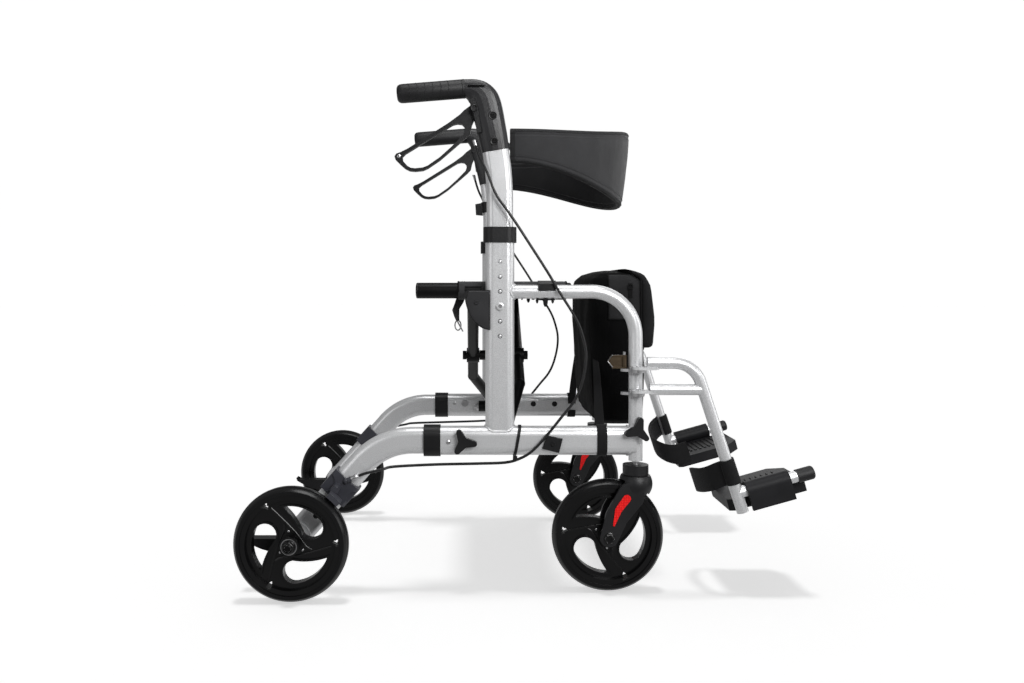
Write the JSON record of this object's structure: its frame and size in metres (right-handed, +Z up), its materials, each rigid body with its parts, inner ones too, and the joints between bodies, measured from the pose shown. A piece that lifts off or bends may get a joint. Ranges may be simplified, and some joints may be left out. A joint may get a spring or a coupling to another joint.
{
  "type": "rollator transport chair",
  "caption": "Folding rollator with a sling seat, flip-over backrest band, loop brakes, front casters and swing-away footrests, so that it also serves as a pushed transport chair.",
  "frame": {"origin": "on the floor, under the middle of the overall length and width", "axes": "+X forward, the way a sitter in the chair faces; +Y to the sitter's left; +Z up"},
  "size_m": [1.019, 0.66, 0.9199],
  "materials": {
    "silver_tube": "satin",
    "steel": "satin",
    "black_steel": "satin",
    "black_plastic": "matte",
    "grey_plastic": "matte",
    "tyre": "matte",
    "rubber": "matte",
    "red_reflector": "gloss",
    "black_fabric": "woven"
  },
  "bodies": {
    "frame_right": {"side_rail_right": "silver_tube", "upright_right": "silver_tube", "seat_rail_right": "silver_tube", "rear_leg_right": "silver_tube", "frame_plastics_right": "black_plastic", "frame_fasteners_right": "steel", "brake_cable_right": "rubber", "brake_housing_right": "black_plastic", "bag": "black_fabric"},
    "handle_right": {"handle_tube_right": "silver_tube", "handle_housing_right": "black_plastic", "grip_right": "rubber"},
    "brake_lever_right": {"brake_lever_right": "black_plastic"},
    "brake_shoe_right": {"brake_shoe_right": "black_plastic"},
    "rear_wheel_right": {"rear_tyre_right": "tyre", "rear_rim_right": "grey_plastic"},
    "caster_right": {"caster_fork_right": "black_plastic", "caster_axle_right": "steel", "caster_reflectors_right": "red_reflector"},
    "caster_wheel_right": {"caster_tyre_right": "tyre", "caster_rim_right": "grey_plastic"},
    "hanger_right": {"hanger_right": "silver_tube", "heel_loop_right": "black_fabric", "footrest_cap_right": "rubber"},
    "footplate_right": {"footplate_right": "black_plastic"},
    "latch_right": {"latch_lever_right": "steel"},
    "rear_knob_right": {"rear_knob_right": "black_plastic"},
    "front_knob_right": {"front_knob_right": "black_plastic"},
    "frame_left": {"side_rail_left": "silver_tube", "upright_left": "silver_tube", "seat_rail_left": "silver_tube", "rear_leg_left": "silver_tube", "frame_plastics_left": "black_plastic", "frame_fasteners_left": "steel", "brake_cable_left": "rubber", "brake_housing_left": "black_plastic"},
    "handle_left": {"handle_tube_left": "silver_tube", "handle_housing_left": "black_plastic", "grip_left": "rubber"},
    "brake_lever_left": {"brake_lever_left": "black_plastic"},
    "brake_shoe_left": {"brake_shoe_left": "black_plastic"},
    "rear_wheel_left": {"rear_tyre_left": "tyre", "rear_rim_left": "grey_plastic"},
    "caster_left": {"caster_fork_left": "black_plastic", "caster_axle_left": "steel", "caster_reflectors_left": "red_reflector"},
    "caster_wheel_left": {"caster_tyre_left": "tyre", "caster_rim_left": "grey_plastic"},
    "hanger_left": {"hanger_left": "silver_tube", "heel_loop_left": "black_fabric", "footrest_cap_left": "rubber"},
    "footplate_left": {"footplate_left": "black_plastic"},
    "latch_left": {"latch_lever_left": "steel"},
    "rear_knob_left": {"rear_knob_left": "black_plastic"},
    "front_knob_left": {"front_knob_left": "black_plastic"},
    "cross_front": {"cross_frame_front": "black_steel"},
    "cross_rear": {"cross_frame_rear": "black_steel", "seat_sling": "black_fabric"},
    "backrest": {"backrest_pad": "black_fabric", "backrest_hinges": "black_plastic"}
  },
  "joints": [
    {"name": "fold", "type": "hinge", "parent": "frame_right", "child": "cross_front", "pos_m": [-0.03851, -0.212, 0.27], "axis": [1, 0, 0], "range_deg": [0, 36], "deforming": ["seat_sling", "backrest_pad", "backrest_hinges", "bag"]},
    {"name": "brace_scissor", "type": "hinge", "parent": "cross_front", "child": "cross_rear", "pos_m": [-0.04651, 0, 0.404], "axis": [1, 0, 0], "range_deg": [-72, 0]},
    {"name": "frame_left_pivot", "type": "hinge", "parent": "cross_rear", "child": "frame_left", "pos_m": [-0.03851, 0.212, 0.27], "axis": [1, 0, 0], "range_deg": [0, 36]},
    {"name": "backrest_flip", "type": "hinge", "parent": "handle_right", "child": "backrest", "pos_m": [-0.04606, 0, 0.80078], "axis": [0, -1, 0], "range_deg": [0, 180]},
    {"name": "handle_height_right", "type": "slide", "parent": "frame_right", "child": "handle_right", "axis": [0, 0, 1], "range_m": [-0.05, 0.08], "deforming": ["brake_cable_right"]},
    {"name": "brake_lever_right", "type": "hinge", "parent": "handle_right", "child": "brake_lever_right", "pos_m": [-0.09256, -0.242, 0.86278], "axis": [0, 1, 0], "range_deg": [0, 18], "stiffness_Nm_per_rad": 2, "springref_deg": -8.59},
    {"name": "brake_shoe_right", "type": "hinge", "parent": "frame_right", "child": "brake_shoe_right", "pos_m": [-0.33651, -0.265, 0.19015], "axis": [0, 1, 0], "range_deg": [0, 8]},
    {"name": "rear_wheel_right", "type": "hinge", "parent": "frame_right", "child": "rear_wheel_right", "pos_m": [-0.40951, -0.3, 0.1], "axis": [0, 1, 0], "continuous": true},
    {"name": "caster_swivel_right", "type": "hinge", "parent": "frame_right", "child": "caster_right", "pos_m": [0.19749, -0.242, 0.24], "axis": [0, 0, 1], "continuous": true},
    {"name": "caster_wheel_right", "type": "hinge", "parent": "caster_right", "child": "caster_wheel_right", "pos_m": [0.14649, -0.242, 0.1], "axis": [0, 1, 0], "continuous": true},
    {"name": "footrest_swing_right", "type": "hinge", "parent": "frame_right", "child": "hanger_right", "pos_m": [0.19749, -0.268, 0.4], "axis": [0, 0, -1], "range_deg": [0, 90]},
    {"name": "footplate_flip_right", "type": "hinge", "parent": "hanger_right", "child": "footplate_right", "pos_m": [0.37164, -0.268, 0.18], "axis": [0.9632, 0, 0.2689], "range_deg": [0, 90], "deforming": ["heel_loop_right"]},
    {"name": "latch_right", "type": "hinge", "parent": "frame_right", "child": "latch_right", "pos_m": [0.17749, -0.242, 0.4], "axis": [0, 0, 1], "range_deg": [0, 25], "stiffness_Nm_per_rad": 0.1, "springref_deg": -5.73},
    {"name": "rear_knob_right", "type": "hinge", "parent": "frame_right", "child": "rear_knob_right", "pos_m": [-0.11151, -0.242, 0.269], "axis": [0, 1, 0], "continuous": true},
    {"name": "front_knob_right", "type": "hinge", "parent": "frame_right", "child": "front_knob_right", "pos_m": [0.19749, -0.242, 0.29], "axis": [0, 1, 0], "continuous": true},
    {"name": "handle_height_left", "type": "slide", "parent": "frame_left", "child": "handle_left", "axis": [0, 0, 1], "range_m": [-0.05, 0.08], "deforming": ["brake_cable_left"]},
    {"name": "brake_lever_left", "type": "hinge", "parent": "handle_left", "child": "brake_lever_left", "pos_m": [-0.09256, 0.242, 0.86278], "axis": [0, 1, 0], "range_deg": [0, 18], "stiffness_Nm_per_rad": 2, "springref_deg": -8.59},
    {"name": "brake_shoe_left", "type": "hinge", "parent": "frame_left", "child": "brake_shoe_left", "pos_m": [-0.33651, 0.265, 0.19015], "axis": [0, 1, 0], "range_deg": [0, 8]},
    {"name": "rear_wheel_left", "type": "hinge", "parent": "frame_left", "child": "rear_wheel_left", "pos_m": [-0.40951, 0.3, 0.1], "axis": [0, 1, 0], "continuous": true},
    {"name": "caster_swivel_left", "type": "hinge", "parent": "frame_left", "child": "caster_left", "pos_m": [0.19749, 0.242, 0.24], "axis": [0, 0, 1], "continuous": true},
    {"name": "caster_wheel_left", "type": "hinge", "parent": "caster_left", "child": "caster_wheel_left", "pos_m": [0.14649, 0.242, 0.1], "axis": [0, 1, 0], "continuous": true},
    {"name": "footrest_swing_left", "type": "hinge", "parent": "frame_left", "child": "hanger_left", "pos_m": [0.19749, 0.268, 0.4], "axis": [0, 0, 1], "range_deg": [0, 90]},
    {"name": "footplate_flip_left", "type": "hinge", "parent": "hanger_left", "child": "footplate_left", "pos_m": [0.37164, 0.268, 0.18], "axis": [-0.9632, 0, -0.2689], "range_deg": [0, 90], "deforming": ["heel_loop_left"]},
    {"name": "latch_left", "type": "hinge", "parent": "frame_left", "child": "latch_left", "pos_m": [0.17749, 0.242, 0.4], "axis": [0, 0, -1], "range_deg": [0, 25], "stiffness_Nm_per_rad": 0.1, "springref_deg": -5.73},
    {"name": "rear_knob_left", "type": "hinge", "parent": "frame_left", "child": "rear_knob_left", "pos_m": [-0.11151, 0.242, 0.269], "axis": [0, 1, 0], "continuous": true},
    {"name": "front_knob_left", "type": "hinge", "parent": "frame_left", "child": "front_knob_left", "pos_m": [0.19749, 0.242, 0.29], "axis": [0, 1, 0], "continuous": true}
  ],
  "couplings": [
    {"joint": "brace_scissor", "follows": "fold", "ratio": -2},
    {"joint": "frame_left_pivot", "follows": "fold", "ratio": 1},
    {"joint": "handle_height_left", "follows": "handle_height_right", "ratio": 1},
    {"joint": "brake_shoe_right", "follows": "brake_lever_right", "ratio": 0.44444},
    {"joint": "brake_shoe_left", "follows": "brake_lever_left", "ratio": 0.44444}
  ]
}
